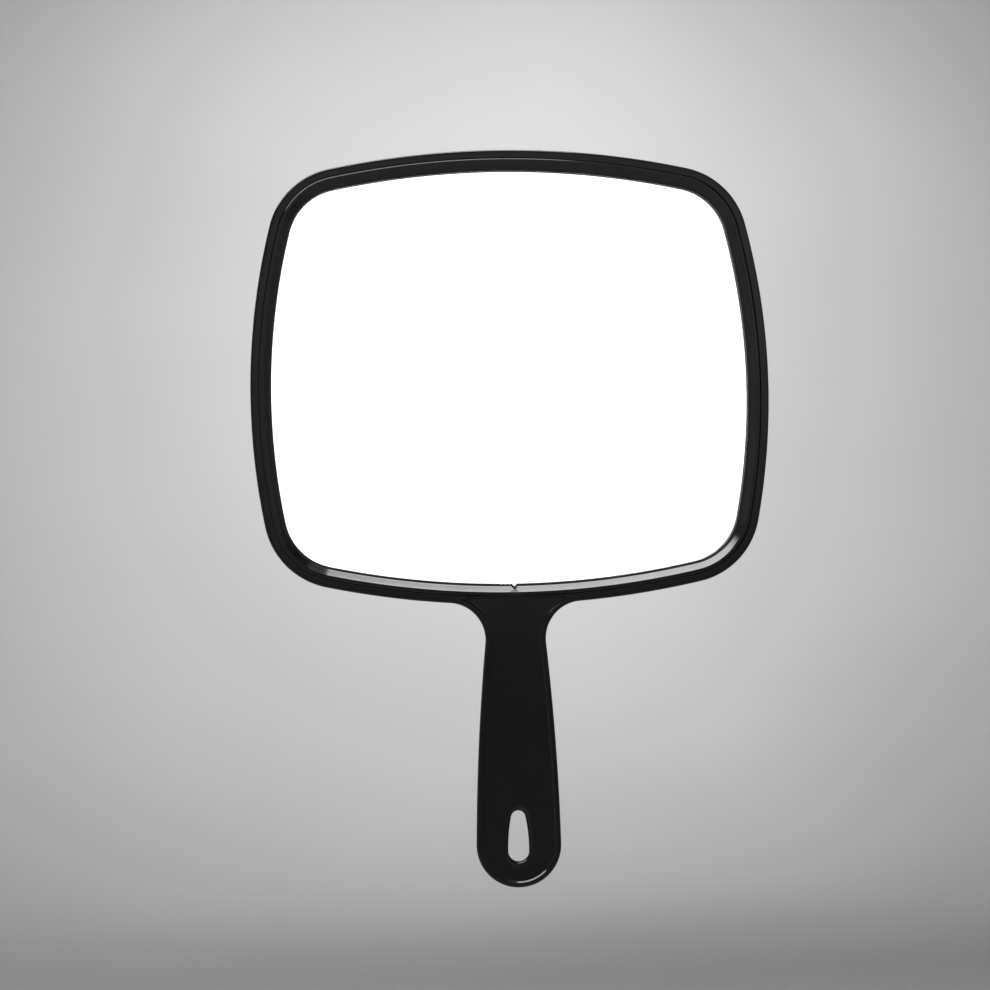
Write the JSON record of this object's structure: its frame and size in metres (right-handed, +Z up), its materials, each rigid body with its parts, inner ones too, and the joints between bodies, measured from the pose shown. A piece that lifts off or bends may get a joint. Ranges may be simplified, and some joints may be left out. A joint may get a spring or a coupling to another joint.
{
  "type": "hand mirror",
  "caption": "Salon hand mirror: rounded-square glass in a glossy black plastic frame with a slim paddle handle and a teardrop hang slot.",
  "frame": {"origin": "middle of the grip: on the centre line, half way through the thickness, 55 mm above the handle's end", "axes": "+Z up along the handle towards the head, -Y is the way the glass faces, X across"},
  "size_m": [0.2224, 0.0126, 0.315],
  "materials": {
    "black_plastic": "polished black ABS",
    "bezel_plastic": "polished black ABS",
    "rear_plastic": "black ABS, satin back",
    "glass": "clear float glass with ground edges",
    "silver": "silvered, painted behind",
    "board": "grey-brown greyboard",
    "foam": "white adhesive foam"
  },
  "bodies": {
    "root": {"front_frame": "black_plastic", "retaining_bezel": "bezel_plastic", "rear_shell": "rear_plastic", "mirror_glass": "glass", "silver_coat": "silver", "backing_board": "board", "foam_pads": "foam"}
  },
  "joints": []
}
